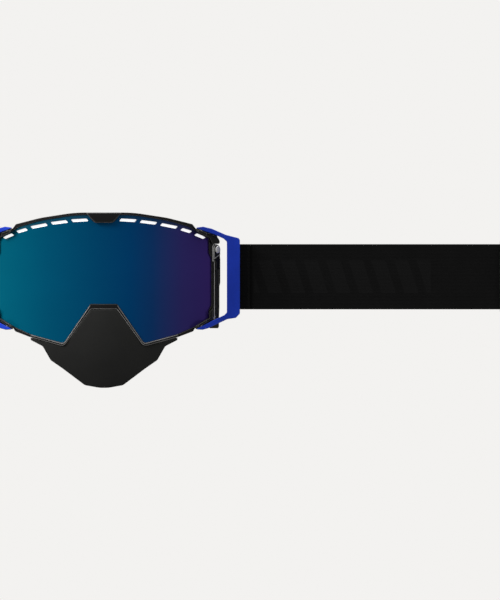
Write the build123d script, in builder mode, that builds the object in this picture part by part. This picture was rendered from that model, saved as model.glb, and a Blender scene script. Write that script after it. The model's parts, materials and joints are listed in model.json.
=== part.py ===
"""Ski goggles: curved double lens in a rigid bezel on a foam-padded face frame, with swinging
outriggers, latch levers, a removable nose guard and a strap in two halves closed by a clip.

Millimetres. The lens faces -Y, the wearer is on the +Y side, +Z is up. The origin is on the
symmetry plane, level with the middle of the strap, where the foam meets the face furthest back.
"""

import os
from math import asin, atan2, cos, degrees, radians, sin, sqrt

from build123d import *

os.makedirs("parts", exist_ok=True)

# ---- Driving dimensions ------------------------------------------------------------------

# Front outline
side_half_width = 75.4
brow_half_width = 60.2

# Lens, a cylinder with a vertical axis
lens_radius = 100.0
lens_axis_y = 20.0
lens_thickness = 1.6
lens_gap = 0.15
inner_lens_thickness = 1.0
gasket_thickness = 3.0
ledge_radius = 94.4
bezel_back_radius = 91.8
bezel_front_radius = 101.0
ledge_width = 5.4
seal_inset = 0.8

# Vent slots along the top of the lens: middle x, middle z, length, slope in degrees
vent_slots = [
    (16.4, 38.3, 12.2, -3),
    (30.3, 36.9, 12.2, -7),
    (44.2, 34.5, 12.3, -11),
    (55.9, 31.4, 8.2, -17),
    (65.3, 27.6, 8.2, -22),
]
vent_height = 1.9
vent_slant = 1.5
vent_rounding = 0.45

# Face frame and foam, cylinders about the wearer's face
face_radius = 93.2
foam_inset = 3.4
foam_width = 9.6
fleece_thickness = 2.0
soft_foam_thickness = 9.0
firm_foam_thickness = 7.0
flange_thickness = 2.5
wall_inset = 1.4
wall_thickness = 2.4

# Corner clips and the shelves beside them
shelf_radius = 98.7
clip_plate_radius = 102.3
clip_lug_width = 8.0

# Outriggers
arm_radius = 103.0
arm_thickness = 3.6
pivot_x = 66.0
flare_start_x = 80.0
flare_radius = 30.0
flare_turn = 24.0
hinge_pin_diameter = 2.0
running_gap = 0.05

# Strap
strap_width = 44.6
strap_thickness = 1.6
strap_pin_diameter = 2.8
strap_end_x = 291.0
slider_x = 277.0
grip_start_x = 112.0
grip_end_x = 198.0

# Latch levers, flat plates square to the lens surface normal at the latch pin
latch_angle = 50.3
latch_pin_z = 18.5
latch_pin_offset = 0.8
latch_range = 8
latch_floor = 95.9
lever_back = 96.4
lever_front = 98.4
boss_front = 99.4
boss_radius = 3.7
head_radius = 2.6
head_height = 0.8
lever_near = 0.8
lever_far = 5.4
lever_bottom_z = -35.2

# Nose guard
guard_gap = 0.25
guard_thickness = 2.0
peg_radius = 1.5
peg_length = 9.0

# ---- Values that follow from them --------------------------------------------------------

foam_half_width = side_half_width - foam_inset
face_axis_y = sqrt(face_radius**2 - foam_half_width**2)
soft_back = face_radius + fleece_thickness
firm_back = soft_back + soft_foam_thickness
flange_back = firm_back + firm_foam_thickness
flange_front = flange_back + flange_thickness
loop_inner = strap_pin_diameter / 2 + running_gap
loop_outer = loop_inner + strap_thickness
strap_back = loop_outer
reach = 130.0
room = 300.0


def lens_y(x, radius=lens_radius):
    """The y of a vertical cylinder about the lens axis, on its front, at this x."""
    return lens_axis_y - sqrt(radius**2 - x**2)


def face_y(x, radius):
    """The y of a vertical cylinder about the face axis, on its front, at this x."""
    return face_axis_y - sqrt(radius**2 - x**2)


# ---- Shared shapes -----------------------------------------------------------------------

# Right half of the bezel outline, x and z with its corner radius, from the brow to the nose
bezel_corners = [
    ((20.0, 43.6), 90.0),
    ((43.0, 40.1), 60.0),
    ((brow_half_width, 35.8), 1.2),
    ((62.8, 32.3), 1.0),
    ((75.0, 27.6), 2.0),
    ((78.2, 24.2), 1.0),
    ((side_half_width, 22.9), 0.3),
    ((side_half_width, -27.8), 1.5),
    ((62.2, -34.7), 0.8),
    ((60.6, -37.3), 1.0),
    ((49.5, -41.5), 20.0),
    ((27.2, -47.6), 4.0),
    ((8.8, -22.2), 1.5),
]

# Right half of the lens pocket's outline, in the same order
lens_corners = [
    ((20.0, 42.1), 90.0),
    ((43.0, 38.4), 60.0),
    ((57.6, 34.2), 6.0),
    ((71.4, 26.4), 1.5),
    ((71.4, 16.4), 1.0),
    ((73.2, 12.4), 1.0),
    ((73.2, -19.4), 1.0),
    ((71.4, -23.0), 1.0),
    ((71.4, -28.0), 1.0),
    ((60.8, -34.6), 3.0),
    ((50.0, -39.4), 15.0),
    ((27.4, -45.5), 2.5),
    ((9.0, -18.8), 1.0),
]

guard_corners = [
    ((50.6, -36.0), 1.0),
    ((49.9, -43.2), 0.8),
    ((41.7, -47.4), 3.0),
    ((36.3, -56.9), 4.0),
    ((28.3, -62.4), 12.0),
    ((13.0, -73.9), 4.0),
    ((3.0, -75.7), 20.0),
]
guard_top = (20.0, -16.0)

# Opening in the bezel's side in front of each lever's boss
boss_window_outline = [(74.2, 11.2), (74.2, 20.4), (75.0, 22.0), (76.2, 22.9), (80.0, 22.9), (80.0, 11.2)]
boss_window_floor = 97.5

# Shelves of the bezel that close the gap between its corners and the arms
shelf_outlines = [
    [(61.0, 31.0), (62.9, 33.0), (66.0, 32.5), (75.2, 29.5), (76.9, 28.4), (77.4, 26.4), (74.0, 25.0)],
    [(61.5, -34.0), (62.7, -36.0), (75.6, -29.7), (75.6, -27.0)],
]


def mirrored_outline(corners, inset=0.0, top=None):
    """A closed front outline from its right half, drawn inwards by inset."""
    points = [point for point, _ in corners]
    radii = [radius for _, radius in corners]
    if top is not None:
        points.insert(0, top)
        radii.insert(0, 1.0)
    left = [(-x, z) for x, z in reversed(points)]
    with BuildSketch(Plane.XZ.offset(-10)) as sketch:
        with BuildLine():
            FilletPolyline(*points, *left, radius=radii + radii[::-1], close=True)
        make_face()
        if inset:
            offset(amount=-inset, kind=Kind.INTERSECTION, mode=Mode.REPLACE)
    return sketch.sketch


def tube(outer, inner, axis_y):
    """A tall vertical tube that cuts a prism down to a curved shell."""
    with BuildPart() as body:
        with BuildSketch(Plane.XY.offset(-room / 2)):
            with Locations((0, axis_y)):
                Circle(outer)
                if inner:
                    Circle(inner, mode=Mode.SUBTRACT)
        extrude(amount=room)
    return body.part


def ring(corners, outer_inset, inner_inset, shell, keep=None):
    """A strip of a curved shell between two insets of a front outline."""
    with BuildPart() as body:
        extrude(mirrored_outline(corners, outer_inset), amount=reach)
        extrude(mirrored_outline(corners, inner_inset), amount=reach, mode=Mode.SUBTRACT)
        add(shell, mode=Mode.INTERSECT)
        if keep is not None:
            add(keep, mode=Mode.INTERSECT)
    return body.part


def slab(low, high):
    """Everything between two heights."""
    with BuildPart() as body:
        with BuildSketch(Plane.XY.offset(low)):
            Rectangle(room, room)
        extrude(amount=high - low)
    return body.part


def write(part, name):
    part.label = name
    export_step(part, f"parts/{name}.step")


def write_mirrored(part, right_name, left_name):
    """The right-hand piece and its mirror image on the left."""
    write(part, right_name)
    with BuildPart() as left:
        mirror(part, about=Plane.YZ)
    write(left.part, left_name)


def both(part):
    """A part together with its mirror image."""
    with BuildPart() as pair:
        add(part)
        mirror(part, about=Plane.YZ)
    return pair.part


lens_depth = tube(bezel_front_radius, bezel_back_radius, lens_axis_y)
wall_depth = tube(bezel_back_radius, 0, lens_axis_y)
with BuildPart() as wall_room:
    add(wall_depth)
    with BuildSketch(Plane.XY.offset(-room / 2)):
        with Locations((0, face_axis_y)):
            Circle(flange_back)
    extrude(amount=room, mode=Mode.SUBTRACT)

# The latch pin's plane: x runs back along the surface, y is up, z points outwards
latch_normal = Vector(sin(radians(latch_angle)), -cos(radians(latch_angle)), 0)
latch_along = Vector(cos(radians(latch_angle)), sin(radians(latch_angle)), 0)


def latch_plane(depth):
    """A plane square to the latch pin, depth from the lens axis."""
    origin = Vector(0, lens_axis_y, 0) + latch_normal * depth
    return Plane(origin=origin, x_dir=latch_along, z_dir=latch_normal)


# ---- Latch levers ------------------------------------------------------------------------

lever_pin_at = (latch_pin_offset, latch_pin_z)
lever_outline = [
    (-2.0, 13.0),
    (lever_near, 9.6),
    (lever_near, -31.6),
    (-3.8, -32.9),
    (-3.8, lever_bottom_z),
    (3.2, lever_bottom_z),
    (4.0, -34.0),
    (4.0, -29.0),
    (4.5, -21.0),
    (4.5, -6.4),
    (lever_far, -4.0),
    (lever_far, 12.0),
    (4.6, 17.5),
]
boss_outline = [
    (latch_pin_offset - boss_radius, latch_pin_z),
    (latch_pin_offset - boss_radius, 11.4),
    (latch_pin_offset + boss_radius, 15.0),
    (latch_pin_offset + boss_radius, latch_pin_z),
]


def lever_sketch(depth, outline, grow=0.0, turn=0.0):
    """An outline on the latch plane, turned about the pin, with the round boss added to it."""
    around_pin = [(x - latch_pin_offset, z - latch_pin_z) for x, z in outline]
    with BuildSketch(latch_plane(depth)) as sketch:
        with Locations(Location((*lever_pin_at, 0), (0, 0, turn))):
            Polygon(*around_pin, align=None)
        if grow:
            offset(amount=grow, kind=Kind.INTERSECTION, mode=Mode.REPLACE)
        with Locations(lever_pin_at):
            Circle(boss_radius + grow / 2)
    return sketch.sketch


with BuildPart() as lever:
    extrude(lever_sketch(lever_back, lever_outline), amount=lever_front - lever_back)
    extrude(lever_sketch(lever_back, boss_outline), amount=boss_front - lever_back)
    with BuildSketch(latch_plane(lever_back)):
        with Locations(lever_pin_at):
            Circle(hinge_pin_diameter / 2 + running_gap)
    extrude(amount=boss_front - lever_back, mode=Mode.SUBTRACT)
    with BuildSketch(latch_plane(lever_front)):
        with Locations(((lever_near + lever_far) / 2, -10.0)):
            SlotOverall(30, 1.0, rotation=90)
    extrude(amount=-0.6, mode=Mode.SUBTRACT)
write_mirrored(lever.part, "right_latch_lever", "left_latch_lever")

head_back = boss_front + 0.2
with BuildPart() as latch_pin:
    with BuildSketch(latch_plane(bezel_back_radius)):
        with Locations(lever_pin_at):
            Circle(hinge_pin_diameter / 2)
    extrude(amount=head_back - bezel_back_radius)
    with BuildSketch(latch_plane(head_back)):
        with Locations(lever_pin_at):
            Circle(head_radius)
    extrude(amount=head_height)
    outer_face = latch_pin.faces().sort_by(Axis(Vector(0, 0, 0), latch_normal))[-1]
    fillet(outer_face.edges(), 0.8 * head_height)
write(both(latch_pin.part), "latch_pins")

with BuildPart() as latch_washer:
    with BuildSketch(latch_plane(latch_floor)):
        with Locations(lever_pin_at):
            Circle(2.8)
            Circle(hinge_pin_diameter / 2 + running_gap, mode=Mode.SUBTRACT)
    extrude(amount=0.2)
write(both(latch_washer.part), "latch_washers")

# ---- Bezel -------------------------------------------------------------------------------

# x and z of each peg, with the radius of its front end inside the guard
peg_places = [(15.6, -36.6, 99.9), (33.2, -48.6, 98.5)]


def vent_cut(grow=0.0):
    """Ten slanted slots through the lens and the ledge behind it."""
    with BuildPart() as cut:
        for x, z, length, slope in vent_slots:
            half, tall = length / 2 + grow, vent_height / 2 + grow
            with BuildSketch(Plane.XZ) as slot:
                with Locations(Location((x, z, 0), (0, 0, slope))):
                    Polygon(
                        (-half, -tall),
                        (half - vent_slant, -tall),
                        (half, tall),
                        (-half + vent_slant, tall),
                        align=None,
                    )
                fillet(slot.vertices(), vent_rounding)
            extrude(amount=reach)
        mirror(about=Plane.YZ)
    return cut.part


with BuildPart() as lens_pocket:
    extrude(mirrored_outline(lens_corners), amount=reach)
    add(tube(room / 2, ledge_radius, lens_axis_y), mode=Mode.INTERSECT)

with BuildPart() as guard_bracket:
    extrude(mirrored_outline(bezel_corners, -5.0), amount=reach)
    extrude(mirrored_outline(bezel_corners, 1.0), amount=reach, mode=Mode.SUBTRACT)
    add(tube(95.0, 92.0, lens_axis_y), mode=Mode.INTERSECT)
    extrude(mirrored_outline(guard_corners, 1.0, top=guard_top), amount=reach, mode=Mode.INTERSECT)

with BuildPart() as corner_shelves:
    with BuildSketch(Plane.XZ):
        for shelf_outline in shelf_outlines:
            Polygon(*shelf_outline, align=None)
    extrude(amount=reach)
    add(tube(shelf_radius, ledge_radius, lens_axis_y), mode=Mode.INTERSECT)
    add(lens_pocket.part, mode=Mode.SUBTRACT)

with BuildPart() as boss_window:
    with BuildSketch(Plane.XZ):
        Polygon(*boss_window_outline, align=None)
    extrude(amount=reach)
    add(tube(bezel_front_radius + 1, boss_window_floor, lens_axis_y), mode=Mode.INTERSECT)

with BuildPart() as latch_pocket:
    for outline in (lever_outline, boss_outline):
        for turn in (0, latch_range / 2, latch_range):
            extrude(lever_sketch(latch_floor, outline, grow=0.4, turn=turn), amount=12)
    add(boss_window.part)
    with BuildSketch(latch_plane(bezel_back_radius - 2)):
        with Locations(lever_pin_at):
            Circle(hinge_pin_diameter / 2)
    extrude(amount=8)

with BuildPart() as bezel:
    extrude(mirrored_outline(bezel_corners), amount=reach)
    add(lens_depth, mode=Mode.INTERSECT)
    add(lens_pocket.part, mode=Mode.SUBTRACT)
    extrude(mirrored_outline(lens_corners, ledge_width), amount=reach, mode=Mode.SUBTRACT)
    add(guard_bracket.part)
    add(both(corner_shelves.part))
    add(vent_cut(grow=-0.3), mode=Mode.SUBTRACT)
    add(both(latch_pocket.part), mode=Mode.SUBTRACT)
    with BuildSketch(Plane.XZ):
        with Locations(*[(side * x, z) for x, z, _ in peg_places for side in (1, -1)]):
            Circle(peg_radius + running_gap)
    extrude(amount=reach, mode=Mode.SUBTRACT)
write(bezel.part, "bezel")

# ---- Lens stack --------------------------------------------------------------------------

with BuildPart() as outer_lens:
    extrude(mirrored_outline(lens_corners, lens_gap), amount=reach)
    add(tube(lens_radius, lens_radius - lens_thickness, lens_axis_y), mode=Mode.INTERSECT)
    add(vent_cut(), mode=Mode.SUBTRACT)
write(outer_lens.part, "outer_lens")

lens_back = lens_radius - lens_thickness
seal_depth = tube(lens_back, ledge_radius, lens_axis_y)
gasket_back = lens_back - gasket_thickness
brow_split_z = 22.0
gasket_inset = ledge_width + 0.2
vent_foam = ring(lens_corners, seal_inset, ledge_width, seal_depth, slab(brow_split_z, 60))
write(vent_foam, "lens_vent_foam")
lens_seal = ring(lens_corners, seal_inset, ledge_width, seal_depth, slab(-60, brow_split_z))
write(lens_seal, "lens_seal")
gasket_depth = tube(lens_back, gasket_back, lens_axis_y)
write(ring(lens_corners, gasket_inset, gasket_inset + 3, gasket_depth), "lens_gasket")

with BuildPart() as inner_lens:
    extrude(mirrored_outline(lens_corners, gasket_inset), amount=reach)
    inner_depth = tube(gasket_back, gasket_back - inner_lens_thickness, lens_axis_y)
    add(inner_depth, mode=Mode.INTERSECT)
write(inner_lens.part, "inner_lens")

# ---- Face frame --------------------------------------------------------------------------

upper_vents = [0, 18, 36]
lower_vents = [38, 51]
foam_edge = foam_inset + foam_width
wall_back = wall_inset + wall_thickness
mesh_back = wall_back + 2

with BuildPart() as face_frame:
    add(ring(bezel_corners, wall_inset, wall_back, wall_room.part))
    add(ring(bezel_corners, wall_inset, foam_edge, tube(flange_front, flange_back, face_axis_y)))
    for places, height in ((upper_vents, 40), (lower_vents, -40)):
        for x in sorted({side * place for place in places for side in (1, -1)}):
            middle = (lens_y(x, bezel_back_radius) + face_y(x, flange_front)) / 2
            turn = degrees(asin(x / lens_radius))
            with Locations(Location((x, middle, height), (0, 0, turn))):
                Box(11, 8, 24, mode=Mode.SUBTRACT)
write(face_frame.part, "face_frame")

with BuildPart() as vent_foam_room:
    add(wall_depth)
    with BuildSketch(Plane.XY.offset(-room / 2)):
        with Locations((0, face_axis_y)):
            Circle(flange_front)
    extrude(amount=room, mode=Mode.SUBTRACT)
for keep, vent_name in ((slab(24, 60), "upper_vent_foam"), (slab(-60, -27), "lower_vent_foam")):
    write(ring(bezel_corners, wall_back, mesh_back, vent_foam_room.part, keep), vent_name)

foam_layers = [
    ("face_foam_firm", flange_back, firm_back),
    ("face_foam_soft", firm_back, soft_back),
    ("face_fleece", soft_back, face_radius),
]
for layer_name, far, near in foam_layers:
    write(ring(bezel_corners, foam_inset, foam_edge, tube(far, near, face_axis_y)), layer_name)

# ---- Clips on the bezel ------------------------------------------------------------------

with BuildPart() as brow_clip:
    with BuildSketch(Plane.XZ):
        Polygon((-12.3, 43.4), (-5.9, 36.6), (5.9, 36.6), (12.3, 43.4), align=None)
    extrude(amount=reach)
    add(tube(102.8, bezel_front_radius, lens_axis_y), mode=Mode.INTERSECT)
    with BuildSketch(Plane.XZ) as lip:
        Polygon((-9.6, 40.3), (-6.3, 37.0), (6.3, 37.0), (9.6, 40.3), align=None)
    with BuildPart(mode=Mode.PRIVATE) as lip_block:
        extrude(lip.sketch, amount=reach)
        add(tube(bezel_front_radius, lens_radius + 0.05, lens_axis_y), mode=Mode.INTERSECT)
    add(lip_block.part)
write(brow_clip.part, "brow_clip")

pivot_y = lens_y(pivot_x, arm_radius)
clip_plate_depth = tube(clip_plate_radius, bezel_front_radius, lens_axis_y)
with BuildPart() as clip_lug_depth:
    with BuildSketch(Plane.XY.offset(-room / 2)):
        with Locations((pivot_x, pivot_y)):
            Rectangle(clip_lug_width, clip_lug_width)
    extrude(amount=room)
    add(tube(arm_radius + 2, bezel_front_radius, lens_axis_y), mode=Mode.INTERSECT)
upper_clip = [
    (62.9, 32.3),
    (66.0, 31.4),
    (74.8, 28.3),
    (76.4, 27.4),
    (77.9, 26.1),
    (78.7, 24.4),
    (78.7, 22.8),
    (77.8, 22.4),
    (73.8, 22.4),
    (71.7, 26.6),
    (63.2, 30.6),
]
lower_clip = [
    (62.7, -35.2),
    (66.0, -33.5),
    (74.2, -28.6),
    (74.2, -21.4),
    (71.8, -24.0),
    (71.8, -28.3),
    (62.4, -33.6),
]
hinge_heights = [(upper_clip, "upper", 29.6, 33.5), (lower_clip, "lower", -35.4, -32.2)]

with BuildPart() as hinge_pin:
    for _, _, low, high in hinge_heights:
        with BuildSketch(Plane.XY.offset(low)):
            with Locations((pivot_x, pivot_y)):
                Circle(hinge_pin_diameter / 2)
        extrude(amount=high - low)
write(both(hinge_pin.part), "hinge_pins")

with BuildPart() as clip_depth:
    add(clip_plate_depth)
    add(clip_lug_depth.part)

for clip_outline, level, _, _ in hinge_heights:
    with BuildPart() as corner_clip:
        with BuildSketch(Plane.XZ):
            Polygon(*clip_outline, align=None)
        extrude(amount=reach)
        add(clip_depth.part, mode=Mode.INTERSECT)
        add(hinge_pin.part, mode=Mode.SUBTRACT)
    write_mirrored(corner_clip.part, f"{level}_right_corner_clip", f"{level}_left_corner_clip")

# ---- Outriggers --------------------------------------------------------------------------

outrigger_outline = [
    (63.0, 33.5),
    (67.5, 34.1),
    (73.5, 32.7),
    (82.7, 28.7),
    (91.6, 26.4),
    (92.5, 25.2),
    (92.5, -25.2),
    (89.8, -28.1),
    (83.9, -29.0),
    (76.1, -32.7),
    (70.9, -35.2),
    (67.0, -36.2),
    (63.2, -36.0),
    (63.4, -35.3),
    (76.0, -28.9),
    (81.9, -26.2),
    (83.6, -24.4),
    (83.6, 23.9),
    (81.4, 26.0),
    (75.0, 28.9),
    (63.0, 32.9),
]

with BuildLine() as arm_path:
    tip_angle = degrees(asin((pivot_x - 5) / arm_radius))
    flare_angle = degrees(asin(flare_start_x / arm_radius))
    arc = CenterArc((0, lens_axis_y), arm_radius, tip_angle - 90, flare_angle - tip_angle)
    flare = JernArc(arc @ 1, arc % 1, flare_radius, -flare_turn)
    Line(flare @ 1, flare @ 1 + (flare % 1) * 6)

bar_middle = flare @ 1
bar_along = flare % 1
pin_offset = arm_thickness / 2 + 0.5 + loop_outer
pin_x = bar_middle.X - bar_along.Y * pin_offset
pin_y = bar_middle.Y + bar_along.X * pin_offset

with BuildPart() as outrigger:
    with BuildSketch(Plane.XY.offset(-room / 2)):
        trace(arm_path.line, line_width=arm_thickness)
    extrude(amount=room)
    with BuildSketch(Plane.XZ):
        Polygon(*outrigger_outline, align=None)
    extrude(amount=reach, mode=Mode.INTERSECT)
    for low in (-25.2, 23.0):
        with BuildSketch(Plane.XY.offset(low)):
            with Locations((pin_x, pin_y)):
                Circle(loop_outer - 0.2)
            turn = degrees(atan2(bar_along.Y, bar_along.X))
            lug_middle = bar_middle - Vector(bar_along.Y, -bar_along.X) * (pin_offset / 2)
            with Locations(Location((lug_middle.X, lug_middle.Y, 0), (0, 0, turn))):
                Rectangle(2 * loop_outer - 0.4, pin_offset)
        extrude(amount=2.2)
    with BuildSketch(Plane.XY.offset(-room / 2)):
        with Locations((pin_x, pin_y)):
            Circle(strap_pin_diameter / 2)
    extrude(amount=room, mode=Mode.SUBTRACT)
    with BuildSketch(Plane.XY.offset(-room / 2)):
        with Locations((pivot_x, pivot_y)):
            Circle(hinge_pin_diameter / 2 + running_gap)
    extrude(amount=room, mode=Mode.SUBTRACT)
write_mirrored(outrigger.part, "right_outrigger", "left_outrigger")

with BuildPart() as strap_pin:
    with BuildSketch(Plane.XY.offset(-25.2)):
        with Locations((pin_x, pin_y)):
            Circle(strap_pin_diameter / 2)
    extrude(amount=50.4)
write_mirrored(strap_pin.part, "right_strap_pin", "left_strap_pin")

# ---- Straps ------------------------------------------------------------------------------

strap_middle_y = pin_y + (loop_inner + loop_outer) / 2

with BuildPart() as strap:
    with BuildSketch(Plane.XY.offset(-strap_width / 2)):
        with Locations((pin_x, pin_y), (strap_end_x, pin_y)):
            Circle(loop_outer)
        with Locations(((pin_x + strap_end_x) / 2, strap_middle_y)):
            Rectangle(strap_end_x - pin_x, strap_thickness)
        with Locations((pin_x, pin_y), (strap_end_x, pin_y)):
            Circle(loop_inner, mode=Mode.SUBTRACT)
    extrude(amount=strap_width)
write_mirrored(strap.part, "right_strap", "left_strap")

with BuildPart() as grip:
    with BuildSketch(Plane.XZ.offset(-(pin_y + strap_back))):
        for height in (-12, 0, 12):
            with Locations(((grip_start_x + grip_end_x) / 2, height)):
                SlotOverall(grip_end_x - grip_start_x, 3.0)
    extrude(amount=-0.4)
write_mirrored(grip.part, "right_grip_strips", "left_grip_strips")

# ---- Sliders -----------------------------------------------------------------------------

slider_length = 13.0
slider_gap = 0.5
slider_wall = 1.5

with BuildPart() as slider:
    with Locations((slider_x, strap_middle_y, 0)):
        thick = strap_thickness + 2 * (slider_gap + slider_wall)
        Box(slider_length, thick, strap_width + 5.4)
        fillet(slider.edges().filter_by(Axis.Y), 1.5)
        Box(slider_length, strap_thickness + 2 * slider_gap, strap_width + 1.4, mode=Mode.SUBTRACT)
    for side in (-1, 1):
        with Locations((slider_x + side * 3.4, strap_middle_y - thick / 2, 0)):
            Box(3.6, 2 * slider_wall, strap_width - 6, mode=Mode.SUBTRACT)
write_mirrored(slider.part, "right_slider", "left_slider")

# ---- Clip --------------------------------------------------------------------------------

cheek_inner = strap_width / 2 + 0.5
cheek_outer = cheek_inner + 2.4
plate_start = loop_outer + 1.2
hook_radius = 3.8


def clip_body(bar_x, tail_length):
    """The bar that the strap loops around, its two cheeks and a plate beyond it."""
    with BuildPart() as body:
        with BuildSketch(Plane.XY.offset(-cheek_outer)):
            with Locations((bar_x, pin_y)):
                Circle(strap_pin_diameter / 2)
        extrude(amount=2 * cheek_outer)
        for low in (-cheek_outer, cheek_inner):
            with BuildSketch(Plane.XY.offset(low)):
                with Locations((bar_x, pin_y)):
                    Circle(2.2)
                with Locations((bar_x + plate_start / 2 + 1, pin_y)):
                    Rectangle(plate_start + 2, 2.6)
            extrude(amount=cheek_outer - cheek_inner)
        with Locations((bar_x + plate_start + tail_length / 2, pin_y, 0)):
            Box(tail_length, 2.6, 2 * cheek_outer)
    return body.part


with BuildPart() as clip_hook:
    add(clip_body(strap_end_x, 5.0))
    with BuildSketch(Plane.XY.offset(-14)):
        with BuildLine():
            start = (strap_end_x + plate_start + 4.0, pin_y)
            run = Line(start, (start[0] + 5.0, pin_y))
            bend = JernArc(run @ 1, run % 1, hook_radius, 180)
            Line(bend @ 1, bend @ 1 + (bend % 1) * 4.5)
        trace(line_width=2.4)
    extrude(amount=28)
write(clip_hook.part, "clip_hook")

with BuildPart() as clip_loop_right:
    add(clip_body(strap_end_x, 12.0))
    with Locations((strap_end_x + plate_start + 5.6, pin_y, 0)):
        Box(6.4, 8, 32, mode=Mode.SUBTRACT)
with BuildPart() as clip_loop:
    mirror(clip_loop_right.part, about=Plane.YZ)
write(clip_loop.part, "clip_loop")

# ---- Nose guard --------------------------------------------------------------------------

with BuildPart() as nose_guard:
    with BuildSketch(Plane.YZ):
        with BuildLine():
            front = ThreePointArc(
                (lens_axis_y - 100.6, -15),
                (lens_axis_y - 99.4, -50),
                (lens_axis_y - 91.5, -78),
            )
            offset(amount=guard_thickness, side=Side.LEFT)
        make_face()
    revolve(axis=Axis((0, lens_axis_y, 0), (0, 0, 1)), revolution_arc=360)
    extrude(mirrored_outline(guard_corners, top=guard_top), amount=reach, mode=Mode.INTERSECT)
    extrude(mirrored_outline(bezel_corners, -guard_gap), amount=reach, mode=Mode.SUBTRACT)
    for x, z, start_radius in peg_places:
        for side in (1, -1):
            peg_start = lens_y(x, start_radius)
            with BuildSketch(Plane.XZ.offset(-peg_start)):
                with Locations((side * x, z)):
                    Circle(peg_radius)
            extrude(amount=-peg_length)
write(nose_guard.part, "nose_guard")
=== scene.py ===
import json
import math

import bmesh
import bpy
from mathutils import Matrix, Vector, noise

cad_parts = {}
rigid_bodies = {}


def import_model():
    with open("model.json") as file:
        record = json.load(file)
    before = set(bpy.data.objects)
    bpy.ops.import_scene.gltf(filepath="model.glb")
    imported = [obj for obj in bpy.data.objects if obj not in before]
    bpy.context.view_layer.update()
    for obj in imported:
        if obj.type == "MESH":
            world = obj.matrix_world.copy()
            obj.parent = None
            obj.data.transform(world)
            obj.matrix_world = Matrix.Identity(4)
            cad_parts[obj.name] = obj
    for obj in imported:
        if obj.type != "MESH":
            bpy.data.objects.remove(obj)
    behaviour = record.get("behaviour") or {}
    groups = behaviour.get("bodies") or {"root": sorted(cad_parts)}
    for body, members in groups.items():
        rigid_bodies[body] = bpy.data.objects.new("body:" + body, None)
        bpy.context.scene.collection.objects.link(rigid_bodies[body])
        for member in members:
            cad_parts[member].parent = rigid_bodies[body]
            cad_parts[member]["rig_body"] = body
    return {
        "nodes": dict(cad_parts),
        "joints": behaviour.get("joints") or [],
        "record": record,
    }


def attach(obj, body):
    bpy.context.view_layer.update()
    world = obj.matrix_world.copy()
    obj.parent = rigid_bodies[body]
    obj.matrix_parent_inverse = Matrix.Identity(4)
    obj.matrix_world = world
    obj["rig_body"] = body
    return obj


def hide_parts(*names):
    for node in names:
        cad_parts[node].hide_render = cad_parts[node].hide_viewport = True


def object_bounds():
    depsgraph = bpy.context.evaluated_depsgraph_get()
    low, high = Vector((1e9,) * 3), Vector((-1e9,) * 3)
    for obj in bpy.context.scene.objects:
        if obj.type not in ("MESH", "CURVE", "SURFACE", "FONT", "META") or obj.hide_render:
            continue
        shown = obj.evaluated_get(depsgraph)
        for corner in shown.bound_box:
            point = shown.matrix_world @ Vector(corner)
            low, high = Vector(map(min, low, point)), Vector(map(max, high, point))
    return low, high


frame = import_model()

cad_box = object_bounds()
record = frame["record"]
nodes = frame["nodes"]
slot_of = {part["node"]: part["material_slot"] for part in record["subparts"]}
joint = {j["name"]: j for j in frame["joints"]}

MM = 0.001
LENS_AXIS_Y = 0.020
LENS_RADIUS = 0.100

# ---- Camera, floor and light ---------------------------------------------------------------

PALE = (0.896, 0.887, 0.871)
VIEW_DISTANCE = 8.0
VIEW_HEIGHT = 0.4104  # metres seen from top to bottom of the picture
STRAP_Y = joint["right_strap_hinge"]["pos_m"][1]

camera_data = bpy.data.cameras.new("camera")
camera_data.sensor_width = 36.0
camera_data.lens = 36.0 * VIEW_DISTANCE / VIEW_HEIGHT
camera_data.clip_end = 100.0
camera = bpy.data.objects.new("camera", camera_data)
camera.location = (0.0994, STRAP_Y - VIEW_DISTANCE, -0.0159)
camera.rotation_euler = (math.pi / 2, 0, 0)
bpy.context.scene.collection.objects.link(camera)
bpy.context.scene.camera = camera
bpy.context.scene.view_settings.view_transform = "Standard"


def shader(name):
    """A new node material: its tree and its Principled shader."""
    material = bpy.data.materials.new(name)
    material.use_nodes = True
    return material, material.node_tree, material.node_tree.nodes["Principled BSDF"]


def add_floor():
    bpy.ops.mesh.primitive_plane_add(size=120, location=(0, 0, cad_box[0].z - 0.002))
    floor = bpy.context.object
    floor.name = "floor"
    material, tree, principled = shader("floor")
    principled.inputs["Base Color"].default_value = (0, 0, 0, 1)
    principled.inputs["Specular IOR Level"].default_value = 0.0
    principled.inputs["Emission Color"].default_value = (*PALE, 1)
    principled.inputs["Emission Strength"].default_value = 1.0
    floor.data.materials.append(material)
    floor.visible_diffuse = False
    floor.visible_glossy = False
    floor.visible_transmission = False
    floor.visible_shadow = False


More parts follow.
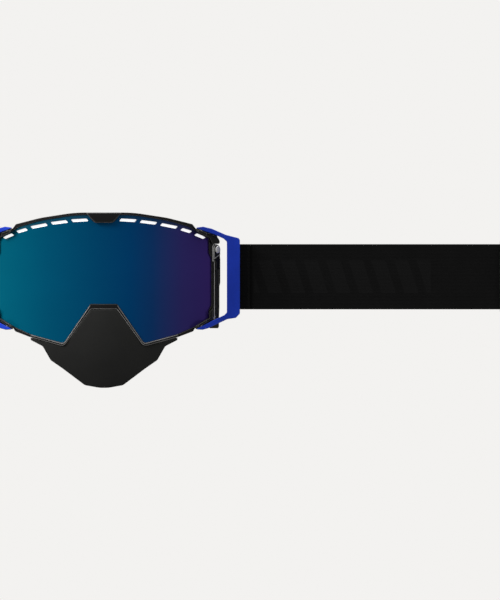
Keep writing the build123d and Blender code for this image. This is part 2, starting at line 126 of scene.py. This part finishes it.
def add_world():
    """Seen straight on it is the pale backdrop; it lights the object brighter from above."""
    world = bpy.data.worlds.new("studio")
    bpy.context.scene.world = world
    world.use_nodes = True
    tree = world.node_tree
    tree.nodes.clear()
    place = tree.nodes.new("ShaderNodeTexCoord")
    split = tree.nodes.new("ShaderNodeSeparateXYZ")
    ramp = tree.nodes.new("ShaderNodeValToRGB")
    lift = tree.nodes.new("ShaderNodeMapRange")
    lift.inputs["From Min"].default_value = -1.0
    for index, (position, grey) in enumerate(((0.0, 0.14), (0.5, 0.43), (1.0, 0.8))):
        stop = ramp.color_ramp.elements[index] if index < 2 else ramp.color_ramp.elements.new(1.0)
        stop.position = position
        stop.color = (grey, grey, grey * 0.99, 1)
    seen = tree.nodes.new("ShaderNodeBackground")
    seen.inputs["Color"].default_value = (*PALE, 1)
    light = tree.nodes.new("ShaderNodeBackground")
    path = tree.nodes.new("ShaderNodeLightPath")
    mix = tree.nodes.new("ShaderNodeMixShader")
    out = tree.nodes.new("ShaderNodeOutputWorld")
    link = tree.links.new
    link(place.outputs["Generated"], split.inputs[0])
    link(split.outputs["Z"], lift.inputs["Value"])
    link(lift.outputs[0], ramp.inputs["Fac"])
    link(ramp.outputs["Color"], light.inputs["Color"])
    link(path.outputs["Is Camera Ray"], mix.inputs["Fac"])
    link(light.outputs[0], mix.inputs[1])
    link(seen.outputs[0], mix.inputs[2])
    link(mix.outputs[0], out.inputs["Surface"])


def add_light(name, place, aim, size, power):
    data = bpy.data.lights.new(name, "AREA")
    data.shape = "RECTANGLE"
    data.size, data.size_y = size
    data.energy = power
    light = bpy.data.objects.new(name, data)
    light.location = place
    light.rotation_euler = (Vector(aim) - Vector(place)).to_track_quat("-Z", "Y").to_euler()
    bpy.context.scene.collection.objects.link(light)


add_floor()
add_world()
add_light("key", (-1.7, -1.1, 1.2), (0, 0, 0), (1.2, 0.8), 50)
add_light("fill", (1.4, -1.0, 1.1), (0.1, 0, 0), (1.0, 0.8), 4)
add_light("back", (0.2, 1.6, 1.3), (0, 0, 0), (1.6, 0.8), 14)

# ---- Materials -----------------------------------------------------------------------------


EDGE_HIGHLIGHT = "edge"  # the face attribute that says how strongly an edge takes the painted highlight
BLOCK = (0.102, 0.223)  # where the strap's knitted bars start and end, in metres from the middle
LENS_HALF_WIDTH = 0.075
VENT_LINE = 0.0388  # height at the middle where the lens's painted reflection, a darker border, starts
VENT_DROP = 2.65  # how far that line falls, in metres per square metre of x
LENS_COLOURS = (  # across the lens, from the left side's teal to the right side's violet
    (0.02, (0.000, 0.129, 0.204)),
    (0.24, (0.000, 0.088, 0.173)),
    (0.50, (0.000, 0.060, 0.158)),
    (0.62, (0.000, 0.050, 0.160)),
    (0.72, (0.005, 0.040, 0.153)),
    (0.86, (0.032, 0.026, 0.150)),
    (0.97, (0.039, 0.020, 0.152)),
)


class Paint:
    """Short names for the nodes that the materials below are built from."""

    def __init__(self, name, colour, roughness, specular=0.5, metallic=0.0):
        self.material, self.tree, self.shader = shader(name)
        self.set("Base Color", (*colour, 1))
        self.set("Roughness", roughness)
        self.set("Specular IOR Level", specular)
        self.set("Metallic", metallic)
        self.place = self.node("ShaderNodeTexCoord").outputs["Object"]

    def set(self, socket, value):
        self.shader.inputs[socket].default_value = value

    def paint(self, colour):
        self.link(colour, self.shader.inputs["Base Color"])

    def node(self, kind, **values):
        node = self.tree.nodes.new(kind)
        for key, value in values.items():
            setattr(node, key, value)
        return node

    def link(self, source, target):
        self.tree.links.new(source, target)

    def axes(self):
        split = self.node("ShaderNodeSeparateXYZ")
        self.link(self.place, split.inputs[0])
        return split.outputs

    def stretched(self, scale):
        """Object coordinates, scaled apart along x, y and z."""
        mapping = self.node("ShaderNodeMapping")
        mapping.inputs["Scale"].default_value = scale
        self.link(self.place, mapping.inputs["Vector"])
        return mapping.outputs[0]

    def noise(self, scale, detail=3.0, vector=None):
        texture = self.node("ShaderNodeTexNoise")
        texture.inputs["Scale"].default_value = scale
        texture.inputs["Detail"].default_value = detail
        self.link(vector or self.place, texture.inputs["Vector"])
        return texture.outputs[0]

    def cells(self, scale):
        texture = self.node("ShaderNodeTexVoronoi")
        texture.inputs["Scale"].default_value = scale
        self.link(self.place, texture.inputs["Vector"])
        return texture.outputs["Distance"]

    def ramp(self, source, stops):
        ramp = self.node("ShaderNodeValToRGB")
        while len(ramp.color_ramp.elements) < len(stops):
            ramp.color_ramp.elements.new(1.0)
        for element, (position, colour) in zip(ramp.color_ramp.elements, stops):
            element.position = position
            element.color = (*colour, 1) if hasattr(colour, "__len__") else (colour,) * 3 + (1,)
        self.link(source, ramp.inputs["Fac"])
        return ramp.outputs["Color"]

    def math(self, operation, a, b=None, clamp=False):
        node = self.node("ShaderNodeMath", operation=operation, use_clamp=clamp)
        for socket, value in zip(node.inputs, (a, b)):
            if isinstance(value, (int, float)):
                socket.default_value = value
            elif value is not None:
                self.link(value, socket)
        return node.outputs[0]

    def mix(self, factor, a, b, blend="MIX"):
        node = self.node("ShaderNodeMix", data_type="RGBA", blend_type=blend)
        for name, value in (("Factor", factor), ("A", a), ("B", b)):
            socket = [found for found in node.inputs if found.name == name and found.enabled][0]
            if isinstance(value, (int, float)):
                socket.default_value = value
            elif isinstance(value, tuple):
                socket.default_value = (*value, 1)
            else:
                self.link(value, socket)
        return [found for found in node.outputs if found.enabled][0]

    def bump(self, *layers):
        """Layers of (height, strength, distance in metres), one over the other."""
        normal = None
        for height, strength, distance in layers:
            node = self.node("ShaderNodeBump")
            node.inputs["Strength"].default_value = strength
            node.inputs["Distance"].default_value = distance
            self.link(height, node.inputs["Height"])
            if normal is not None:
                self.link(normal, node.inputs["Normal"])
            normal = node.outputs[0]
        self.link(normal, self.shader.inputs["Normal"])

    def vary_roughness(self, source, low, high):
        spread = self.node("ShaderNodeMapRange")
        spread.inputs["To Min"].default_value = low
        spread.inputs["To Max"].default_value = high
        self.link(source, spread.inputs["Value"])
        self.link(spread.outputs[0], self.shader.inputs["Roughness"])

    def painted_edge_highlight(self, base, edge):
        """Painted highlight: the rounded edges are painted lighter than the faces between them,
        unevenly.
        """
        highlight_mask = self.node("ShaderNodeAttribute", attribute_name=EDGE_HIGHLIGHT).outputs["Fac"]
        broken = self.ramp(self.noise(130, 4), ((0.3, 0.6), (0.65, 1.0)))
        return self.mix(self.mix(1.0, highlight_mask, broken, "MULTIPLY"), base, edge)


def shades(colour, low, high):
    return tuple(c * low for c in colour), tuple(min(1.0, c * high) for c in colour)


def moulded(name, colour, roughness, specular, edge, grain=0.5):
    """Moulded plastic: fine spark-eroded grain, uneven gloss and a painted highlight on the rounded
    edges.
    """
    paint = Paint(name, colour, roughness, specular)
    dark, light = shades(colour, 0.86, 1.12)
    paint.paint(paint.painted_edge_highlight(paint.ramp(paint.noise(35, 5), ((0.35, dark), (0.7, light))), edge))
    paint.vary_roughness(paint.noise(240, 4), roughness - 0.06, roughness + 0.08)
    paint.bump((paint.cells(2600), grain, 0.00003), (paint.noise(5200, 2), grain, 0.00002))
    return paint.material


def mirror_lens():
    """A mirror coating that shifts from teal on one side to violet on the other, with a painted
    reflection above the vent slots: a darker, greyer border."""
    paint = Paint("mirror_lens", (0.0, 0.1, 0.2), 0.07, 0.03, 0.3)
    across = paint.node("ShaderNodeMapRange")
    across.inputs["From Min"].default_value = -LENS_HALF_WIDTH
    across.inputs["From Max"].default_value = LENS_HALF_WIDTH
    axes = paint.axes()
    paint.link(axes["X"], across.inputs["Value"])
    colour = paint.ramp(across.outputs[0], LENS_COLOURS)
    streaks = paint.ramp(paint.noise(9, 3, paint.stretched((1, 1, 2.4))), ((0.35, 0.95), (0.7, 1.04)))
    drop = paint.math("MULTIPLY", paint.math("MULTIPLY", axes["X"], axes["X"]), VENT_DROP)
    above = paint.math("SUBTRACT", paint.math("ADD", axes["Z"], drop), VENT_LINE)
    # Painted reflection: above the vent line the lens is painted a darker, greyer border.
    border_reflection = paint.ramp(paint.math("MULTIPLY", above, 300.0), ((0.1, 0.0), (0.6, 0.35)))
    shade = paint.mix(border_reflection, paint.mix(1.0, colour, streaks, "MULTIPLY"), (0.02, 0.045, 0.045))
    # Painted reflection: the lens's rounded edges are painted grey where the edge highlight mark is set.
    highlight_mask = paint.node("ShaderNodeAttribute", attribute_name=EDGE_HIGHLIGHT).outputs["Fac"]
    paint.paint(paint.mix(highlight_mask, shade, (0.10, 0.10, 0.11)))
    paint.vary_roughness(paint.noise(60, 4), 0.05, 0.10)
    return paint.material


def clear_lens():
    paint = Paint("clear_lens", (0.86, 0.90, 0.92), 0.03)
    paint.set("Transmission Weight", 0.92)
    paint.set("IOR", 1.49)
    paint.vary_roughness(paint.noise(90, 4), 0.02, 0.06)
    paint.bump((paint.noise(55, 2), 0.05, 0.00004))
    return paint.material


def metal(name, colour, roughness, stretch):
    """Turned or drawn metal: fine darker and lighter lines along one direction, and uneven gloss."""
    paint = Paint(name, colour, roughness, 0.5, 1.0)
    lines = paint.noise(1200, 4, paint.stretched(stretch))
    dark, light = shades(colour, 0.82, 1.0)
    paint.paint(paint.ramp(lines, ((0.3, dark), (0.7, light))))
    paint.vary_roughness(paint.noise(300, 3), roughness * 0.7, roughness * 1.4)
    paint.bump((lines, 0.25, 0.00002))
    return paint.material


def foam(name, colour, cell, depth=0.0004, painted_glow=0.0):
    """Open-cell foam: round pores of uneven size, with painted shade where they go deep and a painted
    highlight on the walls between them.
    """
    paint = Paint(name, colour, 0.95, 0.15)
    pores = paint.cells(cell)
    dark, light = shades(colour, 0.35, 1.25)
    # Painted shade in the pores and a painted highlight on the walls between them.
    shade = paint.ramp(pores, ((0.15, dark), (0.38, colour), (0.75, light)))
    blotch = paint.ramp(paint.noise(45, 3), ((0.3, 0.85), (0.7, 1.08)))
    paint.paint(paint.mix(1.0, shade, blotch, "MULTIPLY"))
    # Painted light: an emission in the foam's own colour makes it glow brighter, though it is no lamp.
    paint.set("Emission Color", (*colour, 1))
    paint.set("Emission Strength", painted_glow)
    paint.bump((pores, 0.8, depth), (paint.cells(cell * 2.3), 0.5, depth * 0.4))
    return paint.material


def fleece():
    """Brushed fleece: short matted fibres with a soft sheen."""
    paint = Paint("fleece", (0.012, 0.012, 0.014), 1.0, 0.1)
    fibres = paint.noise(2400, 6, paint.stretched((1.0, 0.5, 0.6)))
    tufts = paint.noise(520, 5)
    # Painted shade and painted highlight: the fleece is darker where its tufts dip and lighter where
    # they rise, following the same noise as the bump.
    paint.paint(paint.ramp(tufts, ((0.3, (0.007, 0.007, 0.008)), (0.7, (0.024, 0.024, 0.027)))))
    paint.set("Sheen Weight", 0.35)
    paint.set("Sheen Roughness", 0.55)
    paint.bump((tufts, 0.9, 0.0005), (fibres, 0.8, 0.0002))
    return paint.material


def webbing():
    """Knitted elastic: ribs along the strap crossed by a finer weft, and a block of slanted bars whose
    lighter colour is partly the pattern's own tone and partly a painted sheen."""
    base = 0.0029
    paint = Paint("strap_webbing", (base, base, base), 0.85, 0.08)
    axes = paint.axes()
    rib_pitch, weft_pitch = 0.00095, 0.00060

    def wave(axis, pitch, shift=0.0):
        turn = paint.math("MULTIPLY", axes[axis], 2 * math.pi / pitch)
        return paint.math("SINE", paint.math("ADD", turn, shift))

    rib = wave("Z", rib_pitch)
    weft = wave("X", weft_pitch, paint.math("MULTIPLY", wave("Z", rib_pitch * 2), 1.4))
    height = paint.math("ADD", rib, paint.math("MULTIPLY", weft, 0.55))
    level = paint.math("ADD", paint.math("MULTIPLY", height, 0.25), 0.5)
    # Painted shade and painted highlight: the knit is darker in the valleys of its ribs and weft and
    # lighter on their crests.
    shade = paint.ramp(level, ((0.15, base * 0.4), (0.6, base), (0.95, base * 2.0)))
    blotch = paint.ramp(paint.noise(70, 3), ((0.3, 0.85), (0.7, 1.12)))
    woven = paint.mix(1.0, shade, blotch, "MULTIPLY")

    bar_pitch, bar_slant, block_half_height = 0.0155, 0.32, 0.0112
    block_start, block_end = BLOCK
    across = paint.math("ABSOLUTE", axes["X"])
    slanted = paint.math("ADD", across, paint.math("MULTIPLY", axes["Z"], bar_slant))
    phase = paint.math("FRACT", paint.math("DIVIDE", slanted, bar_pitch))
    inside = paint.math("LESS_THAN", phase, 0.62)
    for test, axis, limit in (
        ("GREATER_THAN", across, block_start),
        ("LESS_THAN", across, block_end),
        ("LESS_THAN", paint.math("ABSOLUTE", axes["Z"]), block_half_height),
    ):
        inside = paint.math("MULTIPLY", inside, paint.math(test, axis, limit))
    # The bars' colour: partly their own lighter tone, partly a painted sheen in place of a shinier yarn.
    bar_tone_and_sheen = tuple([base * 1.9] * 3)
    paint.paint(paint.mix(paint.math("MULTIPLY", inside, 0.55), woven, bar_tone_and_sheen))
    paint.set("Sheen Weight", 0.04)
    paint.set("Sheen Roughness", 0.5)
    paint.bump((level, 0.7, 0.00022), (paint.noise(3000, 3), 0.4, 0.00006))
    return paint.material


def silicone():
    paint = Paint("silicone", (0.03, 0.03, 0.033), 0.28)
    shade = paint.ramp(paint.noise(60, 3), ((0.3, (0.02, 0.02, 0.022)), (0.7, (0.038, 0.038, 0.042))))
    paint.paint(shade)
    paint.vary_roughness(paint.noise(200, 3), 0.2, 0.38)
    paint.set("Coat Weight", 0.2)
    paint.bump((paint.noise(420, 3), 0.4, 0.00008))
    return paint.material


SATIN_BLACK = (0.0058, 0.0052, 0.0052)
# Each moulded finish's fifth value is the colour of the painted highlight on its rounded edges.
materials = {
    "mirror_lens": mirror_lens(),
    "clear_lens": clear_lens(),
    "rigid_black": moulded("rigid_black", SATIN_BLACK, 0.36, 0.17, (0.50, 0.49, 0.48)),
    "flexible_frame": moulded(
        "flexible_frame", (0.009, 0.009, 0.0095), 0.55, 0.2, (0.03, 0.03, 0.031), 0.8
    ),
    "outrigger_blue": moulded(
        "outrigger_blue", (0.0110, 0.045, 0.50), 0.36, 0.12, (0.10, 0.15, 0.50), 0.35
    ),
    "latch_black": moulded("latch_black", (0.0062, 0.006, 0.0058), 0.38, 0.18, (0.52, 0.52, 0.50)),
    "bright_metal": metal("bright_metal", (0.95, 0.94, 0.93), 0.45, (1.0, 1.0, 6.0)),
    "pin_steel": metal("pin_steel", (0.45, 0.45, 0.46), 0.3, (1.0, 1.0, 0.1)),
    # The white foam's last value is painted light: an emission that makes it glow brighter white.
    "white_foam": foam("white_foam", (0.95, 0.95, 0.95), 900, 0.0001, 0.85),
    "black_foam": foam("black_foam", (0.018, 0.018, 0.018), 1100),
    "firm_foam": foam("firm_foam", (0.020, 0.020, 0.022), 1000),
    "soft_foam": foam("soft_foam", (0.050, 0.050, 0.054), 760),
    "fleece": fleece(),
    "strap_webbing": webbing(),
    "silicone": silicone(),
    "guard_rubber": moulded(
        "guard_rubber", (0.0152, 0.0152, 0.0145), 0.62, 0.14, (0.14, 0.14, 0.135), 0.9
    ),
}

# ---- Shared mesh helpers -------------------------------------------------------------------


def new_piece(name, mesh, body, slot, replaced=()):
    """A piece that rides on a body and takes its look from one of the record's slots."""
    piece = bpy.data.objects.new(name, mesh)
    bpy.context.scene.collection.objects.link(piece)
    mesh.materials.clear()
    mesh.materials.append(materials[slot])
    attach(piece, body)
    if replaced:
        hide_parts(*replaced)
    return piece


def applied(piece):
    """Leaves the piece with the mesh that its modifiers make."""
    graph = bpy.context.evaluated_depsgraph_get()
    mesh = bpy.data.meshes.new_from_object(piece.evaluated_get(graph))
    piece.modifiers.clear()
    piece.data = mesh
    return piece


def body_of(node):
    return nodes[node]["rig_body"]


def clean_work(node):
    """The node's mesh with its seams joined and its flat faces made whole."""
    work = bmesh.new()
    work.from_mesh(nodes[node].data)
    bmesh.ops.remove_doubles(work, verts=work.verts, dist=2e-6)
    bmesh.ops.dissolve_limit(work, angle_limit=math.radians(0.6), verts=work.verts, edges=work.edges)
    work.faces.layers.float.new(EDGE_HIGHLIGHT)
    return work


def hard_edges(work, degrees=30):
    limit = math.radians(degrees)
    return [edge for edge in work.edges if len(edge.link_faces) == 2 and edge.calc_face_angle(0) > limit]


def round_edges(work, edges, width, segments, highlight_amount):
    """Rounds edges, and marks the new faces with how strongly they take the painted edge highlight."""
    made = bmesh.ops.bevel(
        work,
        geom=edges,
        offset=width,
        offset_type="OFFSET",
        segments=segments,
        profile=0.5,
        affect="EDGES",
        clamp_overlap=False,
    )
    highlight_layer = work.faces.layers.float[EDGE_HIGHLIGHT]
    for face in made["faces"]:
        face[highlight_layer] = highlight_amount


def finished(node, width, highlight_amount=0.5, segments=2, special=()):
    """A node's shape with its hard edges rounded. special gives a test, width and painted-highlight
    strength for the edges that differ from the rest."""
    work = clean_work(node)
    edges = hard_edges(work)
    for test, special_width, special_highlight in special:
        chosen = [edge for edge in edges if test((edge.verts[0].co + edge.verts[1].co) / 2)]
        edges = [edge for edge in edges if edge not in chosen]
        round_edges(work, chosen, special_width, segments, special_highlight)
        edges = [edge for edge in edges if edge.is_valid]
    round_edges(work, edges, width, segments, highlight_amount)
    mesh = bpy.data.meshes.new(node)
    work.to_mesh(mesh)
    work.free()
    piece = new_piece(f"{node}_shell", mesh, body_of(node), slot_of[node], (node,))
    mesh.shade_smooth()
    mesh.set_sharp_from_angle(angle=math.radians(40))
    normals = piece.modifiers.new("normals", "WEIGHTED_NORMAL")
    normals.keep_sharp = True
    return applied(piece)


# ---- Hard pieces ---------------------------------------------------------------------------

LATCH_NORMAL = (0.7694, -0.63877)
BOSS_FRONT = 99.4 * MM
GUARD_HALF_WIDTH = 50.5 * MM
NOTCH_TOP = -21.0 * MM
LENS_SIDE = 73.8 * MM
LEVER_LOW, LEVER_HIGH = -28.5 * MM, 23.2 * MM


def axis_distance(point):
    """How far a point is from the axis of the cylinder that the lens follows."""
    return math.hypot(point.x, point.y - LENS_AXIS_Y)


def on_notch_front(point):
    """The front outer edge of the bezel, where the nose guard meets it."""
    in_front = axis_distance(point) > LENS_RADIUS + 0.7 * MM
    return in_front and abs(point.x) < GUARD_HALF_WIDTH and point.z < NOTCH_TOP


def on_side_front(point):
    """The front outer edges of the bezel beside the latch levers and around their bosses."""
    in_front = axis_distance(point) > LENS_RADIUS - 4 * MM
    return in_front and abs(point.x) > LENS_SIDE and LEVER_LOW < point.z < LEVER_HIGH


def on_boss_front(point):
    """The front edge of a latch lever's boss."""
    outward = abs(point.x) * LATCH_NORMAL[0] + (point.y - LENS_AXIS_Y) * LATCH_NORMAL[1]
    return outward > BOSS_FRONT - 0.2 * MM


# The value after each width is how strongly the rounded edges take the painted edge highlight; the
# bezel's front edges beside the levers and the levers' boss fronts take it fully, as painted highlight
# lines.
finished(
    "bezel",
    0.3 * MM,
    0.10,
    special=((on_notch_front, 0.5 * MM, 0.42), (on_side_front, 0.7 * MM, 1.0)),
)
finished("outer_lens", 0.15 * MM, 0.6)
finished("inner_lens", 0.15 * MM, 0.0)
finished("face_frame", 0.5 * MM, 0.3)
finished("brow_clip", 0.45 * MM, 0.15)
finished("nose_guard", 0.4 * MM, 0.08)
finished("latch_pins", 0.1 * MM, 0.0)
finished("latch_washers", 0.05 * MM, 0.0)
finished("hinge_pins", 0.3 * MM, 0.0)
finished("clip_hook", 0.35 * MM, 0.09)
finished("clip_loop", 0.35 * MM, 0.09)
for side in ("right", "left"):
    finished(f"upper_{side}_corner_clip", 0.4 * MM, 0.12)
    finished(f"lower_{side}_corner_clip", 0.4 * MM, 0.12)
    finished(f"{side}_outrigger", 0.45 * MM, 0.1, 3)
    finished(f"{side}_strap_pin", 0.4 * MM, 0.0)
    finished(f"{side}_latch_lever", 0.2 * MM, 0.15, special=((on_boss_front, 0.75 * MM, 1.0),))
    finished(f"{side}_slider", 0.4 * MM, 0.09)

# ---- Foam and fleece -----------------------------------------------------------------------

SETTLE_FRAMES = 20
CLOTH_MASS = 0.3
CLOTH_PRESSURE = 4.0


def softened(node, voxel, shrink, roughen):
    """The node's solid as a soft skin: drawn in a little, remeshed, relaxed and made uneven."""
    mesh = nodes[node].data.copy()
    work = bmesh.new()
    work.from_mesh(mesh)
    bmesh.ops.remove_doubles(work, verts=work.verts, dist=2e-6)
    work.to_mesh(mesh)
    work.free()
    piece = new_piece(f"{node}_skin", mesh, body_of(node), slot_of[node], (node,))
    remesh = piece.modifiers.new("skin", "REMESH")
    remesh.mode = "VOXEL"
    remesh.voxel_size = voxel
    relax = piece.modifiers.new("relax", "SMOOTH")
    relax.factor = 0.5
    relax.iterations = 3
    applied(piece)
    mesh = piece.data
    moves = []
    for vertex in mesh.vertices:
        uneven = noise.noise(vertex.co * 330) * roughen
        moves.append(vertex.co + vertex.normal * (uneven - shrink))
    for vertex, place in zip(mesh.vertices, moves):
        vertex.co = place
    return piece


def inflated(piece, cap):
    """Lets cloth pressure crown the skin, no point moving further than the cap."""
    start = [vertex.co.copy() for vertex in piece.data.vertices]
    cloth = piece.modifiers.new("cloth", "CLOTH")
    cloth.settings.quality = 4
    cloth.settings.mass = CLOTH_MASS
    cloth.settings.use_pressure = True
    cloth.settings.uniform_pressure_force = CLOTH_PRESSURE
    cloth.settings.effector_weights.gravity = 0.0
    cloth.collision_settings.use_collision = False
    cloth.point_cache.frame_start = 1
    cloth.point_cache.frame_end = SETTLE_FRAMES
    for frame_number in range(1, SETTLE_FRAMES + 1):
        bpy.context.scene.frame_set(frame_number)
    applied(piece)
    bpy.context.scene.frame_set(1)
    for vertex, place in zip(piece.data.vertices, start):
        move = vertex.co - place
        if move.length > cap:
            vertex.co = place + move.normalized() * cap
    finer = piece.modifiers.new("finer", "SUBSURF")
    finer.levels = finer.render_levels = 1
    applied(piece)
    piece.data.shade_smooth()
    return piece


foam_firm = inflated(softened("face_foam_firm", 2.0 * MM, 0.35 * MM, 0.15 * MM), 0.6 * MM)
foam_soft = inflated(softened("face_foam_soft", 2.0 * MM, 0.45 * MM, 0.25 * MM), 0.9 * MM)
face_fleece = softened("face_fleece", 0.9 * MM, 0.15 * MM, 0.12 * MM)
for strip, voxel in (
    ("lens_gasket", 0.8),
    ("lens_seal", 0.9),
    ("lens_vent_foam", 0.8),
    ("upper_vent_foam", 0.8),
    ("lower_vent_foam", 0.8),
):
    softened(strip, voxel * MM, 0.05 * MM, 0.1 * MM)

# ---- Strap ---------------------------------------------------------------------------------

STRAP_WIDTH = 44.6 * MM
STRAP_THICKNESS = 1.6 * MM
LOOP_RADIUS = 2.25 * MM
STRAP_START = joint["right_strap_hinge"]["pos_m"][0]
STRAP_END = joint["clip_hook_hinge"]["pos_m"][0]
TAIL_LIFT = LOOP_RADIUS - STRAP_THICKNESS - 0.05 * MM
SELVAGE = 0.9 * MM


def closed_mesh(work, name):
    """The finished mesh of a closed shape whose faces are built one by one, smooth and facing outwards.
    """
    bmesh.ops.recalc_face_normals(work, faces=work.faces)
    mesh = bpy.data.meshes.new(name)
    work.to_mesh(mesh)
    work.free()
    mesh.shade_smooth()
    return mesh


def arc(centre_x, centre_y, start, end, steps=14):
    for step in range(steps + 1):
        angle = math.radians(start + (end - start) * step / steps)
        yield (centre_x + LOOP_RADIUS * math.cos(angle), centre_y + LOOP_RADIUS * math.sin(angle))


def line(start, end, step=2.5 * MM):
    count = max(1, round(math.dist(start, end) / step))
    for index in range(1, count):
        share = index / count
        yield (start[0] + (end[0] - start[0]) * share, start[1] + (end[1] - start[1]) * share)


def strap_path():
    """The webbing's middle line seen from above: a sewn tail, round the strap pin, along the strap,
    round the clip's bar and back to a second tail."""
    tail_y = STRAP_Y + TAIL_LIFT
    first_loop = list(arc(STRAP_START, STRAP_Y, -50, -270))
    last_loop = list(arc(STRAP_END, STRAP_Y, 90, -130))
    first_landing = (STRAP_START + 4.2 * MM, tail_y)
    last_landing = (STRAP_END - 4.2 * MM, tail_y)
    first_end = (STRAP_START + 12.0 * MM, tail_y)
    last_end = (STRAP_END - 6.9 * MM, tail_y)
    points = [first_end, *line(first_end, first_landing), first_landing]
    points += first_loop
    points += line(first_loop[-1], last_loop[0])
    points += last_loop
    points += [last_landing, *line(last_landing, last_end, 1.0 * MM), last_end]
    return points


def offset_line(points, distance):
    """A line beside another, on its left."""
    moved = []
    for index, (x, y) in enumerate(points):
        before = points[max(index - 1, 0)]
        after = points[min(index + 1, len(points) - 1)]
        dx, dy = after[0] - before[0], after[1] - before[1]
        size = math.hypot(dx, dy)
        moved.append((x - dy / size * distance, y + dx / size * distance))
    return moved


def strap_profile():
    """The webbing's section: flat faces between two rounded, slightly thicker selvages."""
    half = STRAP_WIDTH / 2
    heights = [-half + SELVAGE + (STRAP_WIDTH - 2 * SELVAGE) * step / 30 for step in range(31)]
    top = [(height, STRAP_THICKNESS / 2 * (0.90 + 0.02 * math.sin(height * 900))) for height in heights]
    cord = STRAP_THICKNESS / 2
    upper = [(half - SELVAGE + SELVAGE * math.sin(a), cord * math.cos(a)) for a in (0.35, 0.8, 1.25)]
    lower = [(-z, t) for z, t in reversed(upper)]
    front = lower + top + upper
    return front + [(half, 0.0)] + [(z, -t) for z, t in reversed(front)] + [(-half, 0.0)]


def strap_mesh(name, mirror):
    path, profile = strap_path(), strap_profile()
    work = bmesh.new()
    rows = []
    for height, depth in profile:
        side_line = offset_line(path, depth)
        rows.append([work.verts.new((mirror * x, y, height)) for x, y in side_line])
    count = len(profile)
    for index in range(count):
        this, following = rows[index], rows[(index + 1) % count]
        for step in range(len(path) - 1):
            work.faces.new((this[step], this[step + 1], following[step + 1], following[step]))
    for step in (0, len(path) - 1):
        work.faces.new([row[step] for row in rows])
    mesh = closed_mesh(work, name)
    mesh.set_sharp_from_angle(angle=math.radians(50))
    return mesh


def path_length():
    points = strap_path()
    return sum(math.dist(a, b) for a, b in zip(points, points[1:]))


def add_stitch(work, centre, along, length, radius, sides=6):
    """One stitch: a short thread that dives into the webbing at both ends."""
    rings = []
    across = Vector((0, 1, 0)).cross(along)
    for share, swell in ((-0.5, 0.25), (-0.3, 0.9), (0.0, 1.0), (0.3, 0.9), (0.5, 0.25)):
        middle = centre + along * (share * length) + Vector((0, radius * 1.2 * share * share * 4, 0))
        ring = []
        for side in range(sides):
            angle = 2 * math.pi * side / sides
            ring.append(
                work.verts.new(
                    middle
                    + across * (math.cos(angle) * radius * swell)
                    + Vector((0, math.sin(angle) * radius * swell, 0))
                )
            )
        rings.append(ring)
    for a, b in zip(rings, rings[1:]):
        for side in range(sides):
            work.faces.new((a[side], a[(side + 1) % sides], b[(side + 1) % sides], b[side]))
    work.faces.new(rings[0][::-1])
    work.faces.new(rings[-1])


def stitches(name, mirror, body):
    """Two upright rows across the first sewn tail, joined into a box at the strap's edges."""
    work = bmesh.new()
    surface = STRAP_Y + TAIL_LIFT - STRAP_THICKNESS / 2 * 0.9 - 0.08 * MM
    pitch, radius, edge = 2.6 * MM, 0.22 * MM, 19.8 * MM
    rows = (STRAP_START + 6.2 * MM, STRAP_START + 10.6 * MM)
    for x in rows:
        z = -edge
        while z <= edge:
            add_stitch(work, Vector((mirror * x, surface, z)), Vector((0, 0, 1)), pitch * 0.8, radius)
            z += pitch
    for z in (-edge - pitch / 2, edge + pitch / 2):
        x = rows[0] + pitch / 2
        while x < rows[1]:
            add_stitch(work, Vector((mirror * x, surface, z)), Vector((1, 0, 0)), pitch * 0.8, radius)
            x += pitch
    return new_piece(name, closed_mesh(work, name), body, "strap_webbing")


def grip_ribbons(node, mirror):
    """Three wavy beads of silicone printed on the strap's back."""
    work = bmesh.new()
    back = STRAP_Y + LOOP_RADIUS + STRAP_THICKNESS / 2
    start, end, wave, swing, half, rise = 0.112, 0.198, 0.0086, 0.0008, 0.0007, 0.0004
    steps = 170
    section = [(-1.0, -0.15), (-0.8, 0.55), (-0.35, 0.95), (0.35, 0.95), (0.8, 0.55), (1.0, -0.15)]
    for height in (-0.012, 0.0, 0.012):
        rings = []
        for step in range(steps + 1):
            x = start + (end - start) * step / steps
            taper = min(1.0, 0.15 + 8 * min(step, steps - step) / steps)
            middle = height + swing * math.sin(2 * math.pi * (x - start) / wave)
            rings.append(
                [
                    work.verts.new((mirror * x, back + rise * up * taper, middle + half * out * taper))
                    for out, up in section
                ]
            )
        for a, b in zip(rings, rings[1:]):
            for index in range(len(section)):
                following = (index + 1) % len(section)
                work.faces.new((a[index], a[following], b[following], b[index]))
        work.faces.new(rings[0])
        work.faces.new(rings[-1][::-1])
    name = f"{node}_beads"
    return new_piece(name, closed_mesh(work, name), body_of(node), slot_of[node], (node,))


for side, mirror, far in (("right", 1, "clip_hook"), ("left", -1, "clip_loop")):
    node = f"{side}_strap"
    strap = new_piece(f"{node}_webbing", strap_mesh(node, mirror), body_of(node), slot_of[node], (node,))
    thread = stitches(f"{side}_strap_stitches", mirror, body_of(node))
    beads = grip_ribbons(f"{side}_grip_strips", mirror)
    path_length()
